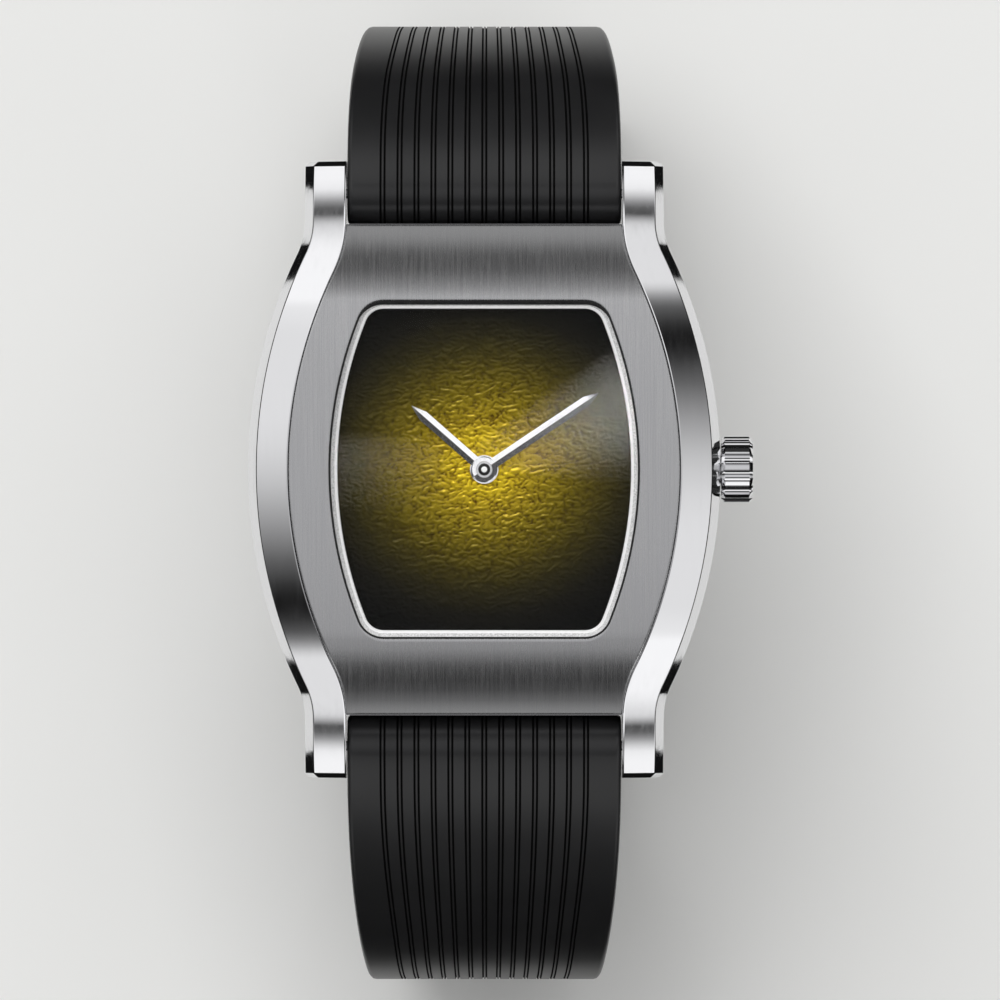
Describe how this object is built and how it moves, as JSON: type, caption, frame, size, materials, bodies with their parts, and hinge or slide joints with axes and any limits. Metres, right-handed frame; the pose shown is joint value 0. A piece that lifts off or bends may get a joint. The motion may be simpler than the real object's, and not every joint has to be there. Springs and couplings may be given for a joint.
{
  "type": "tonneau watch",
  "caption": "Barrel-cased wristwatch, polished side rails round a brushed bezel, two hands on a gold to black dial, grooved rubber strap with pin buckle.",
  "frame": {"origin": "middle of the caseback's outer face, on the axis of the hands", "axes": "+Z out of the dial, +Y to 12 o'clock, +X to the crown at 3 o'clock"},
  "size_m": [0.0404, 0.0783, 0.054],
  "materials": {
    "polished_steel": "polished stainless steel",
    "brushed_steel": "lengthwise brushed stainless steel",
    "steel": "plain machined steel",
    "crystal": "polished mineral glass",
    "black_rubber": "moulded matt rubber",
    "seal_rubber": "moulded nitrile",
    "dial": "hammered relief, lacquered from gold through olive to black",
    "flange": "turned, satin silver",
    "hands": "faceted and polished",
    "holder": "moulded",
    "plate": "stamped brass",
    "train": "gilt brass",
    "iron": "soft iron sheet",
    "copper": "enamelled copper wire",
    "board": "green epoxy board",
    "chip": "black epoxy",
    "cell": "nickel-plated steel cup"
  },
  "bodies": {
    "case": {"case_middle": "polished_steel", "bezel": "brushed_steel", "crystal": "crystal", "crystal_gasket": "seal_rubber", "flange": "flange", "dial": "dial", "caseback": "polished_steel", "caseback_gasket": "seal_rubber", "caseback_screws": "steel", "crown_tube": "steel", "movement_holder": "holder", "main_plate": "plate", "train_bridge": "plate", "movement_screws": "steel", "battery": "cell", "battery_clip": "steel", "circuit_board": "board", "driver_chip": "chip", "quartz_can": "cell", "coil_core": "iron", "coil_winding": "copper", "stator": "iron", "spring_bar_tubes": "steel", "spring_bar_springs": "steel"},
    "rotor": {"rotor": "iron"},
    "intermediate_wheel": {"intermediate_wheel": "train"},
    "minute_hand": {"centre_wheel": "train", "cannon_pinion": "train", "minute_hand": "hands"},
    "minute_wheel": {"minute_wheel": "train"},
    "hour_hand": {"hour_wheel": "train", "hour_hand": "hands"},
    "setting_wheel": {"setting_wheel": "train"},
    "setting_lever": {"setting_lever": "steel"},
    "yoke": {"yoke": "steel"},
    "clutch_wheel": {"clutch_wheel": "steel"},
    "crown_slider": {"crown_gasket": "seal_rubber"},
    "crown": {"crown": "polished_steel", "stem": "steel"},
    "pin_12_left": {"spring_bar_pin_12_left": "steel"},
    "pin_12_right": {"spring_bar_pin_12_right": "steel"},
    "pin_6_left": {"spring_bar_pin_6_left": "steel"},
    "pin_6_right": {"spring_bar_pin_6_right": "steel"},
    "strap_12": {"strap_12": "black_rubber", "fixed_keeper": "black_rubber", "buckle_bar": "steel", "buckle_bar_spring": "steel"},
    "buckle_pin_left": {"buckle_bar_pin_left": "steel"},
    "buckle_pin_right": {"buckle_bar_pin_right": "steel"},
    "sliding_keeper": {"sliding_keeper": "black_rubber"},
    "strap_6": {"strap_6": "black_rubber"},
    "buckle_frame": {"buckle_frame": "polished_steel"},
    "buckle_tongue": {"buckle_tongue": "polished_steel"}
  },
  "joints": [
    {"name": "minute_hand_turn", "type": "hinge", "parent": "case", "child": "minute_hand", "pos_m": [0, 0, 0], "axis": [0, 0, 1], "continuous": true},
    {"name": "hour_hand_turn", "type": "hinge", "parent": "case", "child": "hour_hand", "pos_m": [0, 0, 0], "axis": [0, 0, 1], "continuous": true},
    {"name": "minute_wheel_turn", "type": "hinge", "parent": "case", "child": "minute_wheel", "pos_m": [0.00246, -0.00172, 0], "axis": [0, 0, 1], "continuous": true},
    {"name": "setting_wheel_turn", "type": "hinge", "parent": "case", "child": "setting_wheel", "pos_m": [0.00572, -0.0002, 0], "axis": [0, 0, 1], "continuous": true},
    {"name": "intermediate_wheel_turn", "type": "hinge", "parent": "case", "child": "intermediate_wheel", "pos_m": [-0.00115, 0.00316, 0], "axis": [0, 0, 1], "continuous": true},
    {"name": "rotor_turn", "type": "hinge", "parent": "case", "child": "rotor", "pos_m": [-0.00363, 0.00406, 0], "axis": [0, 0, 1], "continuous": true},
    {"name": "crown_pull", "type": "slide", "parent": "case", "child": "crown_slider", "axis": [1, 0, 0], "range_m": [0, 0.0008]},
    {"name": "crown_turn", "type": "hinge", "parent": "crown_slider", "child": "crown", "pos_m": [0, 0, 0.0046], "axis": [1, 0, 0], "continuous": true},
    {"name": "clutch_slide", "type": "slide", "parent": "crown", "child": "clutch_wheel", "axis": [1, 0, 0], "range_m": [-0.00135, 0]},
    {"name": "setting_lever_turn", "type": "hinge", "parent": "case", "child": "setting_lever", "pos_m": [0.0096, 0.0029, 0], "axis": [0, 0, 1], "range_deg": [0, 18.06]},
    {"name": "yoke_turn", "type": "hinge", "parent": "case", "child": "yoke", "pos_m": [0.00788, -0.0032, 0], "axis": [0, 0, 1], "range_deg": [0, 12.49]},
    {"name": "spring_bar_pin_12_left_press", "type": "slide", "parent": "case", "child": "pin_12_left", "axis": [1, 0, 0], "range_m": [0, 0.001], "stiffness_N_per_m": 120, "springref_m": -0.004},
    {"name": "spring_bar_pin_12_right_press", "type": "slide", "parent": "case", "child": "pin_12_right", "axis": [-1, 0, 0], "range_m": [0, 0.001], "stiffness_N_per_m": 120, "springref_m": -0.004},
    {"name": "spring_bar_pin_6_left_press", "type": "slide", "parent": "case", "child": "pin_6_left", "axis": [1, 0, 0], "range_m": [0, 0.001], "stiffness_N_per_m": 120, "springref_m": -0.004},
    {"name": "spring_bar_pin_6_right_press", "type": "slide", "parent": "case", "child": "pin_6_right", "axis": [-1, 0, 0], "range_m": [0, 0.001], "stiffness_N_per_m": 120, "springref_m": -0.004},
    {"name": "strap_12_swing", "type": "hinge", "parent": "case", "child": "strap_12", "pos_m": [0, 0.0222, 0.0026], "axis": [1, 0, 0], "range_deg": [0, 50]},
    {"name": "strap_6_swing", "type": "hinge", "parent": "case", "child": "strap_6", "pos_m": [0, -0.0222, 0.0026], "axis": [-1, 0, 0], "range_deg": [0, 50]},
    {"name": "buckle_bar_pin_left_press", "type": "slide", "parent": "strap_12", "child": "buckle_pin_left", "axis": [1, 0, 0], "range_m": [0, 0.001], "stiffness_N_per_m": 120, "springref_m": -0.004},
    {"name": "buckle_bar_pin_right_press", "type": "slide", "parent": "strap_12", "child": "buckle_pin_right", "axis": [-1, 0, 0], "range_m": [0, 0.001], "stiffness_N_per_m": 120, "springref_m": -0.004},
    {"name": "buckle_frame_swing", "type": "hinge", "parent": "strap_12", "child": "buckle_frame", "pos_m": [0, 0.01021, -0.0391], "axis": [-1, 0, 0], "range_deg": [-35, 35]},
    {"name": "buckle_tongue_swing", "type": "hinge", "parent": "buckle_frame", "child": "buckle_tongue", "pos_m": [0, 0.01021, -0.0391], "axis": [1, 0, 0], "range_deg": [0, 80]},
    {"name": "sliding_keeper_shift", "type": "hinge", "parent": "strap_12", "child": "sliding_keeper", "pos_m": [0, 0.01841, -0.0225], "axis": [1, 0, 0], "range_deg": [-12, 25]}
  ],
  "couplings": [
    {"joint": "hour_hand_turn", "follows": "minute_hand_turn", "ratio": 0.083333},
    {"joint": "minute_wheel_turn", "follows": "minute_hand_turn", "ratio": -0.25},
    {"joint": "setting_wheel_turn", "follows": "minute_hand_turn", "ratio": 0.5},
    {"joint": "intermediate_wheel_turn", "follows": "minute_hand_turn", "ratio": -6},
    {"joint": "rotor_turn", "follows": "minute_hand_turn", "ratio": 60},
    {"joint": "clutch_slide", "follows": "crown_pull", "ratio": -1.6875},
    {"joint": "setting_lever_turn", "follows": "crown_pull", "rad_per_m": 393.78},
    {"joint": "yoke_turn", "follows": "crown_pull", "rad_per_m": 272.28}
  ]
}
